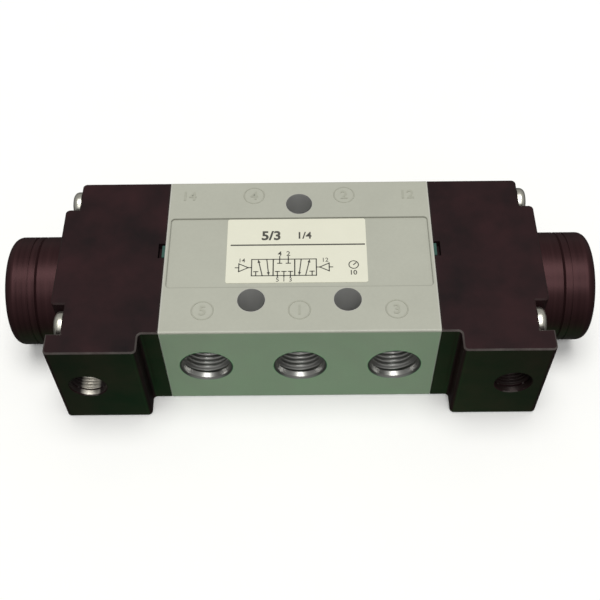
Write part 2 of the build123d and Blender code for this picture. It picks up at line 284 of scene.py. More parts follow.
@dataclass(frozen=True)
class StovedEnamel(Finish):
    """Grey stoved enamel sprayed on die-cast aluminium: an even satin skin with a faint orange peel.

    The ports are bored after painting, so their chamfers are bare metal. A pale band along the edges where the
    caps bolt on is a painted highlight, and a darker line round the label's recess is a painted shadow.
    """

    bare_colour: str = "#A6A6A3"
    edge_colour: str = "#CFCEC6"
    hole_colour: str = "#B2B2B0"
    dust_colour: str = "#84847A"
    port_reach_mm: float = 7.12
    hole_reach_mm: float = 3.63
    edge_band_mm: float = 0.3
    soft_mm: float = 0.04
    drill_pitch_mm: float = 0.45
    drill_depth_mm: float = 0.06
    recess_mm: Flat = (70.0, 23.2)
    recess_y_mm: float = 0.55
    recess_corner_mm: float = 1.0
    dust_width_mm: float = 0.16
    dust_share: float = 0.55
    tint_mm: float = 14.0
    speck_mm: float = 0.9
    satin_mm: float = 6.0
    bare_roughness: float = 0.3
    speck_span: ClassVar[Flat] = (0.985, 1.015)
    gloss_span: ClassVar[Flat] = (0.9, 1.1)

    def near(self, tree: Tree, distance: Socket, reach_mm: float) -> Socket:
        """A mask that is 1 within a reach and falls off softly past it.

        Args:
            tree: The material's node tree.
            distance: The distance to test, in metres.
            reach_mm: The reach, in millimetres.

        Returns:
            The mask.
        """
        start, end = reach_mm * MM, (reach_mm + self.soft_mm) * MM
        inputs = {"Value": distance, "From Min": start, "From Max": end, "To Min": 1.0, "To Max": 0.0}
        return add_node(tree, "MapRange", inputs=inputs).outputs["Result"]

    def radius(self, tree: Tree, first: Socket, second: Socket) -> Socket:
        """The length of the flat vector with those coordinates."""
        flat = add_node(tree, "CombineXYZ", inputs={0: first, 1: second}).outputs[0]
        return add_node(tree, "VectorMath", {"operation": "LENGTH"}, {0: flat}).outputs["Value"]

    def wrapped(self, tree: Tree, x: Socket, offset: float, pitch: float) -> Socket:
        """X counted from the nearest of a row of places, one at the offset and the rest a pitch apart."""
        inputs = {0: self.shifted(tree, x, offset), 1: pitch / 2, 2: -pitch / 2}
        return add_node(tree, "Math", {"operation": "WRAP"}, inputs).outputs[0]

    def shifted(self, tree: Tree, value: Socket, zero: float) -> Socket:
        """A coordinate counted from another zero."""
        return add_node(tree, "Math", {"operation": "SUBTRACT"}, {0: value, 1: zero}).outputs[0]

    def from_recess(self, tree: Tree, place: Socket) -> Socket:
        """The distance from the rim of the recess under the label.

        Args:
            tree: The material's node tree.
            place: The coordinates, in metres.

        Returns:
            The distance, in metres.
        """
        corner = self.recess_corner_mm
        inner = ((self.recess_mm[0] / 2 - corner) * MM, (self.recess_mm[1] / 2 - corner) * MM, 1.0)
        middle = (0, self.recess_y_mm * MM, 0)
        moved = add_node(tree, "VectorMath", {"operation": "SUBTRACT"}, {0: place, 1: middle}).outputs[0]
        size = add_node(tree, "VectorMath", {"operation": "ABSOLUTE"}, {0: moved}).outputs[0]
        past = add_node(tree, "VectorMath", {"operation": "SUBTRACT"}, {0: size, 1: inner}).outputs[0]
        outside = add_node(tree, "VectorMath", {"operation": "MAXIMUM"}, {0: past, 1: (0, 0, 0)}).outputs[0]
        length = add_node(tree, "VectorMath", {"operation": "LENGTH"}, {0: outside}).outputs["Value"]
        axes = add_node(tree, "SeparateXYZ", inputs={0: past}).outputs
        nearer = add_node(tree, "Math", {"operation": "MAXIMUM"}, {0: axes["X"], 1: axes["Y"]}).outputs[0]
        inside = add_node(tree, "Math", {"operation": "MINIMUM"}, {0: nearer, 1: 0.0}).outputs[0]
        total = add_node(tree, "Math", {"operation": "ADD"}, {0: length, 1: inside}).outputs[0]
        signed = self.shifted(tree, total, corner * MM)
        return add_node(tree, "Math", {"operation": "ABSOLUTE"}, {0: signed}).outputs[0]

    def make(self) -> Material:
        """Builds the enamel: bare ports, drilled holes, a painted highlight at the ends, a painted shadow round the
        recess.

        Returns:
            The material.
        """
        material, tree, place = self.start()
        axes = add_node(tree, "SeparateXYZ", inputs={0: place}).outputs
        ports = {name: mount_position(f"port_{name}") for name in "12345"}
        pitch = ports["3"].x - ports["1"].x
        up = self.shifted(tree, axes["Z"], ports["1"].z)
        front_row = self.wrapped(tree, axes["X"], ports["1"].x, pitch)
        from_middle = add_node(tree, "Math", {"operation": "ABSOLUTE"}, {0: axes["X"]}).outputs[0]
        rear_row = self.shifted(tree, from_middle, ports["2"].x)
        at_front = add_node(tree, "Math", {"operation": "LESS_THAN"}, {0: axes["Y"], 1: 0.0}).outputs[0]
        row_inputs = {"Factor": at_front, "A": rear_row, "B": front_row}
        row = add_node(tree, "Mix", inputs=row_inputs).outputs["Result"]
        bare = self.near(tree, self.radius(tree, row, up), self.port_reach_mm)
        front_hole = mount_position("mount_holes_front")
        rear_hole = mount_position("mount_hole_rear")
        front_y = self.shifted(tree, axes["Y"], front_hole.y)
        rear_y = self.shifted(tree, axes["Y"], rear_hole.y)
        hole_x = mount("mount_holes_front")["dims"]["spacing_x_mm"] / 2 * MM
        from_hole = self.shifted(tree, from_middle, hole_x)
        front_mask = self.near(tree, self.radius(tree, from_hole, front_y), self.hole_reach_mm)
        rear_mask = self.near(tree, self.radius(tree, axes["X"], rear_y), self.hole_reach_mm)
        hole = add_node(tree, "Math", {"operation": "MAXIMUM"}, {0: front_mask, 1: rear_mask}).outputs[0]
        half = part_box("valve_body")[1][0]
        to_end = add_node(tree, "Math", {"operation": "SUBTRACT"}, {0: half, 1: from_middle}).outputs[0]
        # Painted highlight: a pale band along both end chamfers, where the caps bolt on.
        edge = self.near(tree, to_end, self.edge_band_mm)
        # Painted shadow: a darker line round the rim of the label's recess.
        line = self.near(tree, self.from_recess(tree, place), self.dust_width_mm)
        rim_shadow = self.product(tree, line, self.dust_share)
        specks = self.noise(tree, place, self.speck_mm, 3.0)
        bright = self.spread(tree, specks, *self.speck_span)
        inputs = {"Value": bright, "Color": self.tinted(tree, place, self.tint_mm)}
        speckled = add_node(tree, "HueSaturation", inputs=inputs).outputs["Color"]
        colour = self.layered(
            tree,
            speckled,
            (rim_shadow, self.dust_colour),
            (edge, self.edge_colour),
            (hole, self.hole_colour),
            (bare, self.bare_colour),
        )
        peel = self.noise(tree, place, self.grain_mm, 2.0)
        down = add_node(tree, "CombineXYZ", inputs={0: axes["Z"]}).outputs[0]
        rings = self.noise(tree, down, self.drill_pitch_mm, 1.0)
        drilled = self.product(tree, rings, self.drill_depth_mm / self.grain_depth_mm)
        skin = add_node(tree, "Mix", inputs={"Factor": hole, "A": peel, "B": drilled}).outputs["Result"]
        clouds = self.noise(tree, place, self.satin_mm, 3.0)
        satin = self.gloss(tree, clouds, self.gloss_span)
        inputs = {"Factor": bare, "A": satin, "B": self.bare_roughness}
        rough = add_node(tree, "Mix", inputs=inputs).outputs["Result"]
        self.end(tree, colour, bare, rough, self.bump(tree, skin, self.grain_depth_mm))
        return material


@dataclass(frozen=True)
class BlackAnodised(Finish):
    """Black anodised aluminium: a dense matte black, browner in some patches than in others.

    The block is blasted to a fine even grain. Past the block's outer face the part is turned, and its
    tool marks run round the axis and break the highlight into faint bands.
    """

    patch_colour: str = "#311A1D"
    worn_colour: str = "#6A6562"
    turned_colour: str = "#3B2527"
    turned_length_mm: float = 14.4
    turned_metal: float = 0.6
    sheen: float = 0.14
    turning_pitch_mm: float = 0.55
    turning_depth_mm: float = 0.006
    tint_mm: float = 9.0
    patch_mm: float = 16.0
    scuff_mm: float = 3.0
    wear_share: float = 0.6
    unhandled_share: float = 0.15
    wear_from_y_mm: float = -24.0
    lean_slack: ClassVar[float] = 0.05
    gloss_span: ClassVar[Flat] = (0.92, 1.08)
    band_span: ClassVar[Flat] = (0.8, 1.2)
    turned_span: ClassVar[Flat] = (0.62, 0.86)

    def make(self) -> Material:
        """Builds the blasted black with turned bands on the round boss.

        Returns:
            The material.
        """
        material, tree, place = self.start()
        axes = add_node(tree, "SeparateXYZ", inputs={0: place}).outputs
        along = add_node(tree, "CombineXYZ", inputs={0: axes["X"]}).outputs[0]
        out = add_node(tree, "Math", {"operation": "ABSOLUTE"}, {0: axes["X"]}).outputs[0]
        block_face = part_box("spring_cover_right")[1][0] - self.turned_length_mm * MM
        turned = add_node(tree, "Math", {"operation": "GREATER_THAN"}, {0: out, 1: block_face}).outputs[0]
        # Real tool marks are about 0.1 mm apart; these are drawn wider so that they show as bands.
        marks = self.noise(tree, along, self.turning_pitch_mm * 2, 3.0)
        blast = self.noise(tree, place, self.grain_mm, 2.0)
        height = add_node(tree, "Mix", inputs={"Factor": turned, "A": blast, "B": marks}).outputs["Result"]
        patches = self.spread(tree, self.noise(tree, place, self.patch_mm, 4.0), 0.0, 1.0)
        inputs = {"Value": self.spread(tree, marks, *self.band_span), "Color": linear(self.turned_colour)}
        banded = add_node(tree, "HueSaturation", inputs=inputs).outputs["Color"]
        colour = self.layered(
            tree,
            self.tinted(tree, place, self.tint_mm),
            (patches, self.patch_colour),
            (turned, banded),
            # Pale chamfers: partly wear, partly a painted highlight.
            (self.wear(tree, place, turned), self.worn_colour),
        )
        matte = self.gloss(tree, blast, self.gloss_span)
        smooth = self.gloss(tree, marks, self.turned_span)
        rough = add_node(tree, "Mix", inputs={"Factor": turned, "A": matte, "B": smooth}).outputs["Result"]
        metal = self.product(tree, turned, self.turned_metal)
        shader = self.end(tree, colour, metal, rough, self.bump(tree, height, self.turning_depth_mm))
        shader.inputs["Specular IOR Level"].default_value = self.sheen
        return material

    def wear(self, tree: Tree, place: Socket, turned: Socket) -> Socket:
        """A mask for the chamfers, the only faces that lean halfway: partly wear where handling thins the dye,
        partly a painted highlight, strongest at the front.

        Args:
            tree: The material's node tree.
            place: The coordinates, in metres.
            turned: A mask of the turned part, which is not marked.

        Returns:
            The mask.
        """
        normal = add_node(tree, "NewGeometry").outputs["True Normal"]
        upward = add_node(tree, "SeparateXYZ", inputs={0: normal}).outputs["Z"]
        lean = add_node(tree, "Math", {"operation": "ABSOLUTE"}, {0: upward}).outputs[0]
        compared = {0: lean, 1: math.sqrt(0.5), 2: self.lean_slack}
        halfway = add_node(tree, "Math", {"operation": "COMPARE"}, compared).outputs[0]
        block = add_node(tree, "Math", {"operation": "SUBTRACT"}, {0: 1.0, 1: turned}).outputs[0]
        scuff_and_glint_noise = self.noise(tree, place, self.scuff_mm, 3.0)
        scuffs_and_glints = self.spread(tree, scuff_and_glint_noise, self.wear_share * 0.5, self.wear_share)
        # Painted highlight: the pale chamfer mark is full on the front chamfers, which catch the light, and faint
        # behind.
        y = add_node(tree, "SeparateXYZ", inputs={0: place}).outputs["Y"]
        inputs = {
            "Value": y,
            "From Min": (self.wear_from_y_mm - 1) * MM,
            "From Max": self.wear_from_y_mm * MM,
            "To Min": 1.0,
            "To Max": self.unhandled_share,
        }
        toward_front = add_node(tree, "MapRange", inputs=inputs).outputs["Result"]
        return self.product(tree, halfway, block, toward_front, scuffs_and_glints)


@dataclass(frozen=True)
class TurnedMetal(Finish):
    """Metal cut on a lathe: bright, with fine rings round the valve's axis or the port's."""

    ring_mm: float = 0.3
    tint_mm: float = 5.0
    along: Point = (1.0, 0.0, 0.0)
    gloss_span: ClassVar[Flat] = (0.8, 1.2)

    def make(self) -> Material:
        """Builds the metal with its cutting rings.

        Returns:
            The material.
        """
        material, tree, place = self.start()
        dot = add_node(tree, "VectorMath", {"operation": "DOT_PRODUCT"}, {0: place, 1: self.along})
        line = add_node(tree, "CombineXYZ", inputs={0: dot.outputs["Value"]}).outputs[0]
        rings = self.noise(tree, line, self.ring_mm, 2.0)
        colour = self.tinted(tree, place, self.tint_mm)
        rough = self.gloss(tree, rings, self.gloss_span)
        self.end(tree, colour, self.metallic, rough, self.bump(tree, rings, self.grain_depth_mm))
        return material


@dataclass(frozen=True)
class RubbedThread(TurnedMetal):
    """An anodised thread, still black at the top and rubbed to bare metal low on one side by a fitting."""

    middle: Point = (0.0, 0.0, 0.0)
    rubbed_x_mm: tuple[float, float] = (-2.9, 2.7)
    rubbed_z_mm: float = -1.3
    soft_mm: float = 1.2
    rubbed_tint_mm: float = 4.0
    dyed_colour: str = "#1E1514"
    gloss_span: ClassVar[Flat] = (0.8, 1.3)

    def past(self, tree: Tree, value: Socket, start: float, sign: float) -> Socket:
        """A soft mask that is 1 past a place, on the side of larger values if the sign is 1."""
        inputs = {"Value": value, "From Min": start, "From Max": start + sign * self.soft_mm * MM}
        return add_node(tree, "MapRange", {"interpolation_type": "SMOOTHSTEP"}, inputs).outputs["Result"]

    def make(self) -> Material:
        """Builds the thread with its rubbed side.

        Returns:
            The material.
        """
        material, tree, place = self.start()
        axes = add_node(tree, "SeparateXYZ", inputs={0: place}).outputs
        low = self.past(tree, axes["Z"], self.middle[2] + self.rubbed_z_mm * MM, -1)
        start, end = self.rubbed_x_mm
        right = self.past(tree, axes["X"], self.middle[0] + start * MM, 1)
        left = self.past(tree, axes["X"], self.middle[0] + end * MM, -1)
        rubbed = self.product(tree, right, left, low)
        grain = self.noise(tree, place, self.grain_mm, 2.0)
        bare = self.tinted(tree, place, self.rubbed_tint_mm)
        colour = self.layered(tree, linear(self.dyed_colour), (rubbed, bare))
        rough = self.gloss(tree, grain, self.gloss_span)
        self.end(tree, colour, rubbed, rough, self.bump(tree, grain, self.grain_depth_mm))
        return material


class Finishes:
    """Every finish of the valve, each made once."""

    def __init__(self) -> None:
        """Builds the materials."""
        # Stoved enamel on cast aluminium: satin, warm light grey, faintly patchy.
        self.enamel = StovedEnamel("stoved_grey_enamel", "#B0B1A5", 0.42, 0.0, 0.7, 0.006, 0.025).make()
        # The same enamel on the raised cast numbers, a little darker: painted shade of their sloped sides.
        self.worn_enamel = Finish("shaded_grey_enamel", "#A8A99C", 0.4, 0.0, 0.7, 0.004, 0.03).make()
        # Hard anodised aluminium, dyed black: very dark, matte, warm at a grazing angle.
        self.black = BlackAnodised("black_anodised_aluminium", "#180F11", 0.52, 0.0, 0.16, 0.003, 0.12).make()
        # Aluminium bored and threaded after painting: bare and bright.
        self.bored = TurnedMetal(
            "bored_bare_aluminium", "#BEBEBB", 0.33, 1.0, 0.3, 0.002, 0.06, along=(0, 1, 0)
        ).make()
        # A dyed thread that a fitting has rubbed back to bare metal low on one side.
        middle = tuple(mount_position("pilot_14"))
        self.rubbed_thread = RubbedThread(
            "rubbed_anodised_thread", "#E6E1D6", 0.45, 1.0, 0.3, 0.002, 0.12, middle=middle
        ).make()
        # A dyed thread that nothing has been screwed into: black with a low gloss.
        self.dyed_thread = TurnedMetal(
            "dyed_anodised_thread", "#2A1E1D", 0.42, 0.5, 0.3, 0.002, 0.12, along=(0, 1, 0)
        ).make()
        # Aluminium bar turned on a lathe.
        self.turned = TurnedMetal("turned_aluminium", "#C8C8C6", 0.28, 1.0, 0.3, 0.002, 0.05).make()
        # Steel ground to size and polished: the spool.
        self.ground = TurnedMetal(
            "ground_stainless_steel", "#B9B9B8", 0.16, 1.0, 0.2, 0.0008, 0.03, ring_mm=0.15
        ).make()
        # Steel with a bright zinc plate: a pale yellowish white metal with a soft, cloudy gloss.
        self.zinc = Finish("bright_zinc_plated_steel", "#E6E4D9", 0.32, 1.0, 0.6, 0.004, 0.05).make()
        # Steel blackened in hot oxide salts: dark and slightly oily.
        self.oxide = Finish("black_oxide_steel", "#2A2A2B", 0.38, 0.8, 0.4, 0.003, 0.1).make()
        # Spring wire drawn through a die: grey, with a low sheen.
        self.wire = Finish("drawn_spring_wire", "#8E8E8D", 0.33, 1.0, 0.3, 0.002, 0.08).make()
        # Sintered bronze: brown gold, pitted by its pores.
        self.bronze = Finish("sintered_bronze", "#9A7442", 0.5, 1.0, 0.25, 0.02, 0.12).make()
        # Moulded acetal: a slightly waxy off-white.
        self.acetal = Finish("moulded_acetal", "#DAD8CC", 0.45, 0.0, 1.2, 0.003, 0.03).make()
        # Moulded nitrile rubber: black and dull.
        self.nitrile = Finish("moulded_nitrile_rubber", "#171717", 0.72, 0.0, 0.3, 0.005, 0.1).make()
        # Calendered fibre gasket sheet, teal, with a short fuzzy grain.
        self.fibre = Finish("teal_gasket_fibre", "#30544C", 0.8, 0.0, 0.35, 0.02, 0.15).make()
        # Printed polyester film: smooth, cream white, slightly glossy.
        self.film = Finish("cream_polyester_film", "#E2E1D0", 0.34, 0.0, 2.5, 0.002, 0.015).make()
        # Screen-printed ink: dark warm grey, thin and dull.
        self.ink = Finish("screen_printed_ink", "#4A4943", 0.55, 0.0, 0.4, 0.001, 0.12).make()


# ---------------------------------------------------------------- mesh building


class MeshBuilder:
    """Collects vertices and faces in metres and turns them into one object."""

    corner_angle = math.radians(50)

    def __init__(self, name: str) -> None:
        """Starts an empty mesh for a piece of that name."""
        self.name = name
        self.work = bmesh.new()

    def prism(self, outline: list[Flat], low: float, high: float) -> None:
        """Adds an upright prism on a flat outline that runs anticlockwise.

        Args:
            outline: The corners, in metres.
            low: The height of its foot.
            high: The height of its top.
        """
        bottom = [self.work.verts.new((x, y, low)) for x, y in outline]
        top = [self.work.verts.new((x, y, high)) for x, y in outline]
        self.work.faces.new(list(reversed(bottom)))
        self.work.faces.new(top)
        for i, vertex in enumerate(bottom):
            after = (i + 1) % len(bottom)
            self.work.faces.new((vertex, bottom[after], top[after], top[i]))

    def loft(self, rings: list[list[Vector]], closed: bool = False) -> None:
        """Joins rings of equal length into a tube with flat ends.

        Args:
            rings: The rings, each a closed loop of points.
            closed: Whether the last ring joins the first.
        """
        made = [[self.work.verts.new(point) for point in ring] for ring in rings]
        count = len(made[0])
        pairs = list(zip(made, made[1:]))
        if closed:
            pairs.append((made[-1], made[0]))
        for one, two in pairs:
            for i in range(count):
                after = (i + 1) % count
                self.work.faces.new((one[i], one[after], two[after], two[i]))
        if not closed:
            self.work.faces.new(list(reversed(made[0])))
            self.work.faces.new(made[-1])

    def take(self, mesh: bpy.types.Mesh, place: Matrix) -> None:
        """Adds a finished mesh.

        Args:
            mesh: The mesh.
            place: Where it goes.
        """
        copy = mesh.copy()
        copy.transform(place)
        self.work.from_mesh(copy)
        bpy.data.meshes.remove(copy)

    def finish(self, material: Material, body: str, slot: str, smooth: bool = False) -> None:
        """Makes the object, dresses it and sets it on its body.

        Args:
            material: Its finish.
            body: The body it rides on.
            slot: The record's material slot.
            smooth: Whether its faces are shaded smooth.
        """
        piece = self.make(material, slot, smooth)
        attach(piece, body)
        LOG.info("built %s: %d faces on %s", self.name, len(piece.data.polygons), body)

    def make(self, material: Material, slot: str, smooth: bool) -> bpy.types.Object:
        """Makes and dresses the object, on no body yet.

        Args:
            material: Its finish.
            slot: Not used. The record's material slot.
            smooth: Whether its faces are shaded smooth, save at its corners.

        Returns:
            The object.
        """
        bmesh.ops.recalc_face_normals(self.work, faces=self.work.faces)
        for face in self.work.faces:
            face.smooth = smooth
        for edge in self.work.edges:
            edge.smooth = edge.calc_face_angle(0.0) < self.corner_angle
        mesh = bpy.data.meshes.new(self.name)
        self.work.to_mesh(mesh)
        self.work.free()
        mesh.materials.append(material)
        piece = bpy.data.objects.new(self.name, mesh)
        bpy.context.collection.objects.link(piece)
        return piece


def dress(material: Material, *nodes: str) -> None:
    """Gives CAD nodes their finish.

    Args:
        material: The finish.
        nodes: The names of the nodes.
    """
    for node in nodes:
        piece = frame["nodes"][node]
        piece.data.materials.clear()
        piece.data.materials.append(material)
        LOG.info("dressed %s in %s", node, material.name)


class Numerals:
    """Plain numbers as flat meshes, one em high before they are scaled."""

    @staticmethod
    def mesh(text: str, height: float, thickness: float, weight: float = 0.0) -> bpy.types.Mesh:
        """Makes a number, centred on the origin and lying flat.

        Args:
            text: The digits.
            height: The height of a digit, in metres.
            thickness: How thick it stands, in metres.
            weight: How much the strokes are thickened, as a share of the height.

        Returns:
            The mesh, with its foot at zero.
        """
        curve = bpy.data.curves.new("numeral", "FONT")
        curve.body = text
        curve.align_x = "CENTER"
        curve.align_y = "CENTER"
        digit_share = 0.72  # a digit's height in the font, as a share of its size
        curve.size = height / digit_share
        curve.offset = weight * height
        curve.resolution_u = 4
        curve.extrude = thickness / 2
        holder = bpy.data.objects.new("numeral", curve)
        bpy.context.collection.objects.link(holder)
        bpy.context.view_layer.update()
        mesh = bpy.data.meshes.new_from_object(holder.evaluated_get(bpy.context.evaluated_depsgraph_get()))
        bpy.data.objects.remove(holder)
        bpy.data.curves.remove(curve)
        lows = [min(v.co[i] for v in mesh.vertices) for i in range(3)]
        highs = [max(v.co[i] for v in mesh.vertices) for i in range(3)]
        middle = Vector((-(lows[0] + highs[0]) / 2, -(lows[1] + highs[1]) / 2, -lows[2]))
        mesh.transform(Matrix.Translation(middle))
        return mesh


# ---------------------------------------------------------------- sub-assemblies


@dataclass
class PortThread:
    """An internal thread: a countersunk lead-in, then one ridge that winds along the port's wall."""

    port: str
    pitch_mm: float
    height_mm: float
    steps: int = 64
    profile_points: int = 9
    sink_mm: float = 0.01
    run_out_turns: float = 0.5
    least_fade: float = 0.02
    lead_mm: float = 1.15
    lead_end_mm: float = 0.3
    lead_share: float = 0.55

    def build(self, finish: Material) -> None:
        """Countersinks the mouth and winds the ridge from there to the end of the thread.

        Args:
            finish: The cut metal.
        """
        facts = mount(self.port)
        out = Vector(facts["axis"]).normalized()
        middle = Vector(facts["pos_m"])
        across = Vector((1, 0, 0))
        up = out.cross(across)
        outer = (facts["dims"]["r_mm"] + self.sink_mm) * MM
        length = facts["dims"]["length_mm"] * MM
        pitch = self.pitch_mm * MM
        lead = self.lead_mm * MM
        turns = (length - lead - pitch) / pitch

        def ring(turn: float, section: list[Flat]) -> list[Vector]:
            """Turns a section round the thread's axis.

            Args:
                turn: How far, in whole turns.
                section: Pairs of a radius and a place along the axis, in metres.

            Returns:
                The section's points.
            """
            angle = math.tau * turn
            ray = across * math.cos(angle) + up * math.sin(angle)
            return [middle + out * along + ray * radius for radius, along in section]

        ridge = []
        for step in range(int(turns * self.steps) + 1):
            turn = step / self.steps
            fade = min(1.0, turn / self.run_out_turns, (turns - turn) / self.run_out_turns)
            height = (self.height_mm + self.sink_mm) * MM * max(fade, self.least_fade)
            along = (length - pitch) / 2 - lead - pitch * turn
            section = []
            for point in range(self.profile_points):
                share = point / (self.profile_points - 1)
                rise = (1 - math.cos(math.tau * share)) / 2
                section.append((outer - height * rise, along + pitch * (0.5 - share)))
            ridge.append(ring(turn, section))
        mouth = [
            (outer, length / 2),
            (outer - self.height_mm * MM * self.lead_share, length / 2 - lead),
            (outer, length / 2 - lead - self.lead_end_mm * MM),
        ]
        builder = MeshBuilder(f"{self.port}_thread")
        builder.loft(ridge)
        builder.loft([ring(step / self.steps, mouth) for step in range(self.steps)], closed=True)
        builder.finish(finish, HOUSING, "piston_aluminium", smooth=True)


@dataclass
class ValveBody:
    """The enamelled body: its ports, their threads and the cast marks on its top."""

    finishes: Finishes
    ring_radius_mm: float = 3.1
    ring_width_mm: float = 0.62
    mark_rise_mm: float = 0.14
    digit_mm: float = 2.9
    digit_weight: float = 0.03
    front_mark_inset_mm: float = 6.85
    rear_mark_inset_mm: float = 5.0
    end_mark_x_mm: float = 30.3
    end_digit_mm: float = 3.0
    thread_pitch_mm: float = 1.337
    thread_height_mm: float = 0.86
    ring_steps: int = 64

    def build(self) -> None:
        """Dresses the body, cuts its threads and raises its marks."""
        dress(self.finishes.enamel, "valve_body")
        for number in "12345":
            thread = PortThread(f"port_{number}", self.thread_pitch_mm, self.thread_height_mm)
            thread.build(self.finishes.bored)
        low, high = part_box("valve_body")
        front = low[1] + self.front_mark_inset_mm * MM
        rear = high[1] - self.rear_mark_inset_mm * MM
        for row, y in (("135", front), ("24", rear)):
            for number in row:
                self.mark(number, Vector((mount_position(f"port_{number}").x, y, high[2])))
        for number, side in (("14", Side.LEFT), ("12", Side.RIGHT)):
            self.mark(number, Vector((side.value * self.end_mark_x_mm * MM, rear, high[2])))

    def mark(self, number: str, middle: Vector) -> None:
        """Raises a number: a port's in a cast ring, a pilot's alone.

        Args:
            number: The port's or pilot's number.
            middle: The middle of the mark, on the face it stands on.
        """
        is_port = len(number) == 1
        builder = MeshBuilder(f"port_mark_{number}" if is_port else f"pilot_mark_{number}")
        rise = self.mark_rise_mm * MM
        outer = self.ring_radius_mm * MM
        inner = outer - self.ring_width_mm * MM
        slope = self.ring_width_mm * MM / 3
        section = ((outer, -rise), (outer - slope, rise), (inner + slope, rise), (inner, -rise))
        rings = []
        for step in range(self.ring_steps):
            angle = math.tau * step / self.ring_steps
            ray = Vector((math.cos(angle), math.sin(angle), 0))
            rings.append([middle + Vector((0, 0, h)) + ray * r for r, h in section])
        if is_port:
            builder.loft(rings, closed=True)
        size = self.digit_mm if is_port else self.end_digit_mm
        digits = Numerals.mesh(number, size * MM, 2 * rise, self.digit_weight)
        builder.take(digits, Matrix.Translation(middle - Vector((0, 0, rise))))
        # The marks take the darker enamel, painted shade of their slopes.
        builder.finish(self.finishes.worn_enamel, HOUSING, "body_paint")


class PortState(Enum):
    """What the port lines do in one box of the schematic."""

    PILOT_14 = "left"
    SHUT = "middle"
    PILOT_12 = "right"


@dataclass
class Label:
    """The film label and its printed schematic: three boxes, port stubs, pilot arrows and plain numbers."""

    finishes: Finishes
    ink_mm: float = 0.012
    line_mm: float = 0.3
    rule_mm: float = 0.46
    rule_y_mm: float = 2.95
    rule_margin_mm: float = 1.2
    box_left_mm: float = -12.65
    box_width_mm: float = 5.72
    box_low_mm: float = -7.3
    box_high_mm: float = -1.9
    stub_mm: float = 0.9
    blocked_mm: float = 1.35
    tee_mm: float = 1.1
    arrow_mm: float = 1.15
    arrow_half_share: float = 0.36
    pilot_tip_gap_mm: float = 0.9
    pilot_length_mm: float = 2.5
    pilot_width_mm: float = 2.6
    small_digit_mm: float = 1.35
    digit_weight: float = 0.01
    upper_digit_share: float = 1.15
    upper_weight: float = 0.02
    lower_gap_mm: float = -0.85
    upper_gap_mm: float = 1.0
    pilot_digit_mm: Flat = (0.9, 1.1)
    header_mm: float = 3.0
    header_weight: float = 0.045
    header_x_mm: float = -7.6
    header_rise_mm: float = 3.2
    size_x_mm: float = 1.6
    size_mm: float = 2.3
    size_weight: float = 0.03
    gauge_x_mm: float = 14.4
    gauge_y_mm: float = -3.9
    gauge_radius_mm: float = 1.25
    gauge_steps: int = 24
    gauge_line_mm: float = 0.24
    gauge_gap_mm: float = 1.3
    gauge_digit_share: float = 1.1
    needle_share: float = 0.5
    lower_ports: ClassVar[dict[str, float]] = {"5": 0.2, "1": 0.5, "3": 0.8}
    upper_ports: ClassVar[dict[str, float]] = {"4": 0.3, "2": 0.7}
    builder: MeshBuilder = field(init=False)
    face: float = field(init=False)

    def build(self) -> None:
        """Dresses the film and prints on it."""
        dress(self.finishes.film, "rating_label")
        low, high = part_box("rating_label")
        self.builder = MeshBuilder("label_print")
        self.face = high[2]
        start = low[0] / MM + self.rule_margin_mm
        end = high[0] / MM - self.rule_margin_mm / 2
        self.line((start, self.rule_y_mm), (end, self.rule_y_mm), self.rule_mm)
        header_y = self.rule_y_mm + self.header_rise_mm
        self.number("5/3", (self.header_x_mm, header_y), self.header_mm, self.header_weight)
        self.number("1/4", (self.size_x_mm, header_y), self.size_mm, self.size_weight)
        self.gauge()
        for place, state in enumerate(PortState):
            self.position_box(self.box_left_mm + place * self.box_width_mm, state)
        middle = self.box_left_mm + self.box_width_mm
        below, above = -self.stub_mm * 0.5, self.stub_mm
        small = self.small_digit_mm
        large = small * self.upper_digit_share
        for ports, edge, stub, gap, size, weight in (
            (self.lower_ports, self.box_low_mm, below, self.lower_gap_mm, small, self.digit_weight),
            (self.upper_ports, self.box_high_mm, above, self.upper_gap_mm, large, self.upper_weight),
        ):
            for number, share in ports.items():
                x = middle + share * self.box_width_mm
                self.line((x, edge), (x, edge + stub))
                self.number(number, (x, edge + stub + gap), size, weight)
        self.pilot(Side.LEFT, "14")
        self.pilot(Side.RIGHT, "12")
        self.builder.finish(self.finishes.ink, HOUSING, "label_film")

    def print_shape(self, corners: tuple[Vector, ...]) -> None:
        """Prints a flat shape, its corners in millimetres and anticlockwise."""
        outline = [(c.x * MM, c.y * MM) for c in corners]
        self.builder.prism(outline, self.face - self.ink_mm * MM, self.face + self.ink_mm * MM)

    def line(self, start: Flat, end: Flat, width: float = 0.0) -> None:
        """Prints a straight stroke.

        Args:
            start: One end, in millimetres.
            end: The other end, in millimetres.
            width: The stroke's width, in millimetres, or zero for the usual one.
        """
        one, two = Vector((*start, 0)), Vector((*end, 0))
        along = (two - one).normalized() * ((width or self.line_mm) / 2)
        side = Vector((-along.y, along.x, 0))
        self.print_shape((one - along - side, two + along - side, two + along + side, one - along + side))

    def arrow(self, start: Flat, end: Flat) -> None:
        """Prints a stroke with a solid head at its end.

        Args:
            start: The tail, in millimetres.
            end: The tip, in millimetres.
        """
        tip = Vector((*end, 0))
        along = (tip - Vector((*start, 0))).normalized()
        neck = tip - along * self.arrow_mm
        side = Vector((-along.y, along.x, 0)) * (self.arrow_mm * self.arrow_half_share)
        self.line(start, (neck.x, neck.y))
        self.print_shape((neck - side, tip, neck + side))

    def number(self, text: str, middle: Flat, height: float, weight: float) -> None:
        """Prints a plain number.

        Args:
            text: The number.
            middle: Its middle, in millimetres.
            height: Its height, in millimetres.
            weight: How much its strokes are thickened, as the font counts it.
        """
        mesh = Numerals.mesh(text, height * MM, 2 * self.ink_mm * MM, weight)
        x, y = middle
        self.builder.take(mesh, Matrix.Translation((x * MM, y * MM, self.face - self.ink_mm * MM)))

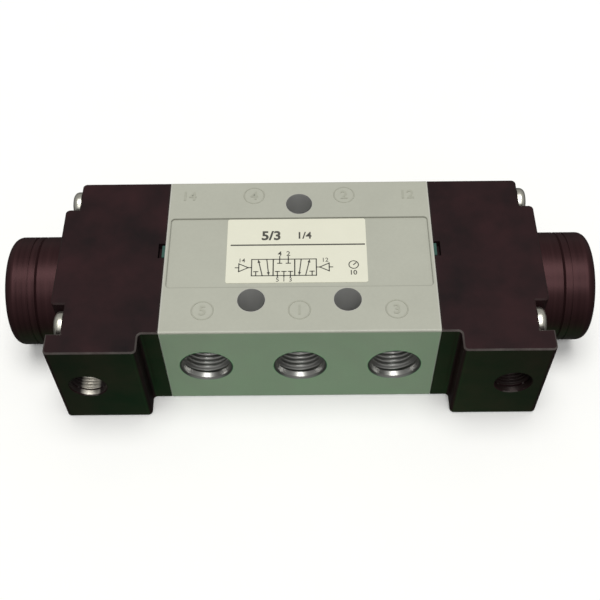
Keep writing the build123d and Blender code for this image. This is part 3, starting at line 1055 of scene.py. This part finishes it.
    def gauge(self) -> None:
        """Prints a dial with its needle, over the pressure as a plain number."""
        x, y, radius = self.gauge_x_mm, self.gauge_y_mm, self.gauge_radius_mm
        turns = [math.tau * step / self.gauge_steps for step in range(self.gauge_steps + 1)]
        points = [(x + radius * math.cos(angle), y + radius * math.sin(angle)) for angle in turns]
        for start, end in zip(points, points[1:]):
            self.line(start, end, self.gauge_line_mm)
        self.line((x, y), (x + radius * self.needle_share, y + radius * self.needle_share))
        size = self.small_digit_mm * self.gauge_digit_share
        self.number("10", (x, y - radius - self.gauge_gap_mm), size, self.size_weight)

    def port_point(self, left: float, port: str) -> Flat:
        """Where a port meets a box's edge.

        Args:
            left: The box's left edge, in millimetres.
            port: The port's number.

        Returns:
            The point, in millimetres.
        """
        if port in self.lower_ports:
            return (left + self.lower_ports[port] * self.box_width_mm, self.box_low_mm)
        return (left + self.upper_ports[port] * self.box_width_mm, self.box_high_mm)

    def position_box(self, left: float, state: PortState) -> None:
        """Prints one box of the schematic.

        Args:
            left: Its left edge, in millimetres.
            state: What its port lines do.
        """
        right = left + self.box_width_mm
        low, high = self.box_low_mm, self.box_high_mm
        corners = [(left, low), (right, low), (right, high), (left, high)]
        for start, end in zip(corners, corners[1:] + corners[:1]):
            self.line(start, end)
        flows = {
            PortState.PILOT_14: (("1", "4"), ("2", "3")),
            PortState.SHUT: (),
            PortState.PILOT_12: (("1", "2"), ("4", "5")),
        }[state]
        for tail, tip in flows:
            self.arrow(self.port_point(left, tail), self.port_point(left, tip))
        used = {port for flow in flows for port in flow}
        for port in "51342":
            if port not in used:
                self.blocked(left, port)

    def blocked(self, left: float, port: str) -> None:
        """Prints a shut port: a stub with a bar across its end.

        Args:
            left: The box's left edge, in millimetres.
            port: The port's number.
        """
        x, y = self.port_point(left, port)
        inward = 1 if port in self.lower_ports else -1
        end = y + inward * self.blocked_mm
        self.line((x, y), (x, end))
        self.line((x - self.tee_mm / 2, end), (x + self.tee_mm / 2, end))

    def pilot(self, side: Side, number: str) -> None:
        """Prints a pilot's open triangle, its leads and its number.

        Args:
            side: Which end of the schematic it works on.
            number: The pilot's number.
        """
        sign = side.value
        edge = self.box_left_mm if side is Side.LEFT else self.box_left_mm + 3 * self.box_width_mm
        y = (self.box_low_mm + self.box_high_mm) / 2
        tip = edge + sign * self.pilot_tip_gap_mm
        back = tip + sign * self.pilot_length_mm
        half = self.pilot_width_mm / 2
        low, high = y - half, y + half
        self.line((edge, y), (tip, y))
        self.line((tip, y), (back, high))
        self.line((tip, y), (back, low))
        self.line((back, low), (back, high))
        self.line((back, y), (back + sign * self.pilot_tip_gap_mm, y))
        inward, above = self.pilot_digit_mm
        self.number(number, (back - sign * inward, high + above), self.small_digit_mm, self.digit_weight)


@dataclass
class EndCap:
    """One end of the valve: cap, gasket, screws, spring cover with its ring, and the pilot port's thread."""

    side: Side
    finishes: Finishes
    thread_pitch_mm: float = 0.907
    thread_height_mm: float = 0.56

    def build(self) -> None:
        """Dresses the end's pieces and cuts its pilot thread."""
        word = self.side.word
        dress(self.finishes.black, f"end_cap_{word}", f"spring_cover_{word}")
        dress(self.finishes.fibre, f"end_gasket_{word}")
        dress(self.finishes.zinc, f"cap_screws_{word}")
        dress(self.finishes.nitrile, f"cover_ring_{word}")
        # The left port has been used, so its dyed thread is rubbed bright; the right one is as made.
        if self.side is Side.LEFT:
            port, finish = "pilot_14", self.finishes.rubbed_thread
        else:
            port, finish = "pilot_12", self.finishes.dyed_thread
        PortThread(port, self.thread_pitch_mm, self.thread_height_mm).build(finish)


@dataclass
class BoreStack:
    """The seals, perforated spacers and guide bushes that line the spool's bore."""

    finishes: Finishes
    seal_count: int = 6

    def build(self) -> None:
        """Dresses the stack."""
        looks = self.finishes
        dress(looks.nitrile, *(f"bore_seal_{number}" for number in range(1, self.seal_count + 1)))
        dress(looks.acetal, *(f"port_spacer_{port}" for port in "12345"))
        dress(looks.bronze, *(f"guide_bush_{side.word}" for side in Side))


@dataclass
class SpoolAssembly:
    """What slides: the spool with a pilot piston, seal and screw at each end."""

    finishes: Finishes

    def build(self) -> None:
        """Dresses the sliding pieces."""
        dress(self.finishes.ground, "spool")
        for side in Side:
            dress(self.finishes.turned, f"pilot_piston_{side.word}")
            dress(self.finishes.nitrile, f"piston_seal_{side.word}")
            dress(self.finishes.oxide, f"piston_screw_{side.word}")


@dataclass
class CentringSpring:
    """A coil spring with closed ends, between a piston and its cover, that shortens as the spool shifts."""

    side: Side
    finishes: Finishes
    wire_mm: float = 0.7
    active_turns: float = 6.0
    closed_turns: float = 1.0
    end_clearance_mm: float = 0.05
    steps: int = 40
    wire_sides: int = 10

    def build(self) -> None:
        """Winds the spring where the CAD spring stands and hides the CAD one."""
        word = self.side.word
        node = f"centring_spring_{word}"
        low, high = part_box(node)
        wire = self.wire_mm * MM
        radius = (high[1] - low[1]) / 2 - wire
        axis_z = (low[2] + high[2]) / 2
        start = low[0] + wire
        end = high[0] - wire
        turns = self.active_turns + 2 * self.closed_turns
        count = int(turns * self.steps)
        closed_rise = 2 * wire * self.closed_turns
        span = end - start - 2 * closed_rise
        centres = []
        for step in range(count + 1):
            turn = step / self.steps
            before = min(turn, self.closed_turns)
            middle = min(max(turn - self.closed_turns, 0), self.active_turns)
            after = max(turn - self.closed_turns - self.active_turns, 0)
            x = start + 2 * wire * (before + after) + span * middle / self.active_turns
            angle = math.tau * turn
            ray = Vector((0, math.cos(angle), math.sin(angle)))
            centres.append((Vector((x, 0, axis_z)) + ray * radius, ray))
        rings = []
        for centre, ray in centres:
            ring = []
            for corner in range(self.wire_sides):
                turn = math.tau * corner / self.wire_sides
                ring.append(centre + ray * (math.cos(turn) * wire) + Vector((math.sin(turn) * wire, 0, 0)))
            rings.append(ring)
        builder = MeshBuilder(f"wound_spring_{word}")
        builder.loft(rings)
        piece = builder.make(self.finishes.wire, "spring_steel", smooth=True)
        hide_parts(node)
        LOG.info("wound %s: %d faces", piece.name, len(piece.data.polygons))
        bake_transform(piece)


# ---------------------------------------------------------------- studio


@dataclass(frozen=True)
class SoftSky:
    """Soft light from one direction, the same all over the floor: its angle is how wide its source looks."""

    name: str
    toward: Point
    strength: float
    angle_deg: float
    colour: str

    def hang(self) -> None:
        """Adds the light."""
        data = bpy.data.lights.new(self.name, "SUN")
        data.energy = self.strength
        data.angle = math.radians(self.angle_deg)
        data.color = linear(self.colour)[:3]
        lamp = bpy.data.objects.new(self.name, data)
        lamp.rotation_euler = Vector(self.toward).to_track_quat("Z", "Y").to_euler()
        bpy.context.collection.objects.link(lamp)


@dataclass(frozen=True)
class BenchGlow:
    """The dim green light that a bench top throws up at the front faces."""

    place: Point = (0.0, -0.5, -0.72)
    target: Point = (0.0, 0.0, 0.02)
    watts: float = 0.68
    size: float = 0.45
    colour: str = "#4BFF86"

    def hang(self) -> None:
        """Adds the light."""
        data = bpy.data.lights.new("bench_glow", "AREA")
        data.energy = self.watts
        data.size = self.size
        data.color = linear(self.colour)[:3]
        lamp = bpy.data.objects.new("bench_glow", data)
        lamp.location = self.place
        lamp.rotation_euler = (Vector(self.target) - Vector(self.place)).to_track_quat("-Z", "Y").to_euler()
        bpy.context.collection.objects.link(lamp)


@dataclass
class Studio:
    """A plain pale floor, soft light from overhead and from the front, and a camera above the front."""

    floor_size: float = 60.0
    floor_colour: str = "#FFFFFF"
    aim_mm: Point = (0.14, -15.36, 32.6)
    distance_mm: float = 255.5
    azimuth_deg: float = -0.71
    elevation_deg: float = 55.13
    roll_deg: float = 1.118
    lens_mm: float = 59.36
    clip_start: float = 0.01
    overhead: SoftSky = SoftSky("overhead", (0.0, 0.0, 1.0), 1.66, 36.0, "#FFFFFB")
    front: SoftSky = SoftSky("front", (0.05, -0.5, 0.8), 0.85, 14.0, "#FFFFFD")
    glow: BenchGlow = BenchGlow()
    room_colour: str = "#F5F5F2"
    room_strength: float = 0.31
    under_strength: float = 0.07
    horizon: float = 0.15
    backdrop_strength: float = 1.12

    def build(self) -> None:
        """Sets the floor, the lights, the room and the camera."""
        self.floor()
        self.overhead.hang()
        self.front.hang()
        self.glow.hang()
        self.room()
        self.camera()
        bpy.context.scene.view_settings.view_transform = "Standard"

    def floor(self) -> None:
        """Lays the floor, which takes shadows but throws no light back up at the valve."""
        half = self.floor_size / 2
        mesh = bpy.data.meshes.new("floor")
        corners = [(-half, -half, 0), (half, -half, 0), (half, half, 0), (-half, half, 0)]
        mesh.from_pydata(corners, [], [(0, 1, 2, 3)])
        finish = Finish("pale_paper_sweep", self.floor_colour, 0.9, 0.0, 2.0, 0.001, 0.004)
        mesh.materials.append(finish.make())
        piece = bpy.data.objects.new("floor", mesh)
        bpy.context.collection.objects.link(piece)
        piece.visible_diffuse = False
        piece.visible_glossy = False
        piece.visible_shadow = False

    def room(self) -> None:
        """Lights the room: pale above, dim below, with a plain pale backdrop behind the floor."""
        world = bpy.data.worlds.new("room")
        world.use_nodes = True
        tree = world.node_tree
        tree.nodes.clear()
        direction = add_node(tree, "TexCoord").outputs["Generated"]
        height = add_node(tree, "SeparateXYZ", inputs={0: direction}).outputs["Z"]
        strength = add_node(
            tree,
            "MapRange",
            inputs={
                "Value": height,
                "From Min": -self.horizon,
                "From Max": self.horizon,
                "To Min": self.under_strength,
                "To Max": self.room_strength,
            },
        ).outputs["Result"]
        seen = add_node(tree, "LightPath").outputs["Is Camera Ray"]
        shown = add_node(tree, "Mix", inputs={"Factor": seen, "A": strength, "B": self.backdrop_strength})
        colour = linear(self.room_colour)
        shade = add_node(tree, "Background", inputs={"Color": colour, "Strength": shown.outputs["Result"]})
        add_node(tree, "OutputWorld", inputs={"Surface": shade.outputs[0]})
        bpy.context.scene.world = world

    def camera(self) -> None:
        """Places the camera on its line of sight."""
        azimuth, elevation = math.radians(self.azimuth_deg), math.radians(self.elevation_deg)
        forward = Vector(
            (
                math.sin(azimuth) * math.cos(elevation),
                math.cos(azimuth) * math.cos(elevation),
                -math.sin(elevation),
            )
        )
        data = bpy.data.cameras.new("camera")
        data.lens = self.lens_mm
        data.clip_start = self.clip_start
        camera = bpy.data.objects.new("camera", data)
        turn = forward.to_track_quat("-Z", "Y").to_matrix().to_4x4()
        roll = Matrix.Rotation(-math.radians(self.roll_deg), 4, "Z")
        place = Vector(self.aim_mm) * MM - forward * self.distance_mm * MM
        camera.matrix_world = Matrix.Translation(place) @ turn @ roll
        bpy.context.collection.objects.link(camera)
        bpy.context.scene.camera = camera


def main() -> None:
    """Builds the valve from its sub-assemblies, then the studio around it."""
    logging.basicConfig(level=logging.INFO, format="%(name)s: %(message)s")
    finishes = Finishes()
    ValveBody(finishes).build()
    Label(finishes).build()
    for side in Side:
        EndCap(side, finishes).build()
    BoreStack(finishes).build()
    SpoolAssembly(finishes).build()
    for side in Side:
        CentringSpring(side, finishes).build()
    Studio().build()


if __name__ == "__main__":
    main()
